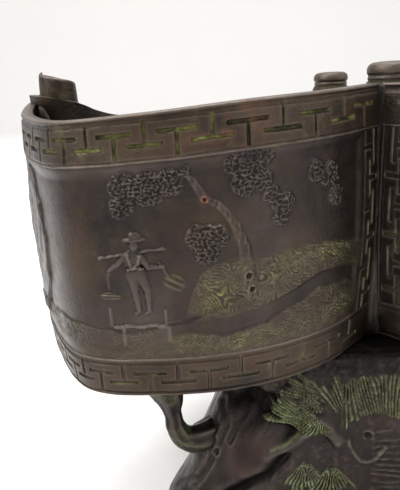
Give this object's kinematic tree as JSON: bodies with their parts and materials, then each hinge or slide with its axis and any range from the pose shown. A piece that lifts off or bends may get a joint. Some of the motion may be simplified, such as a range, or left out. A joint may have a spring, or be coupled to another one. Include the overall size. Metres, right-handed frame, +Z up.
{
  "type": "incense burner",
  "caption": "Cast bronze incense burner: open lobed vessel of partly unrolled scroll sheets with relief and key fret, on a gnarled pine root stand.",
  "frame": {"origin": "on the ground, under the middle of the overall box", "axes": "+Z up, -Y towards the front ridge, +X to the right seen from the front"},
  "size_m": [0.2516, 0.1439, 0.1718],
  "materials": {
    "patinated_bronze": "dark satin patina with verdigris in the hollows",
    "verdigris_bronze": "rough dark patina with green verdigris"
  },
  "bodies": {
    "root": {"scroll_vessel": "patinated_bronze", "pine_root_stand": "verdigris_bronze"}
  },
  "joints": []
}
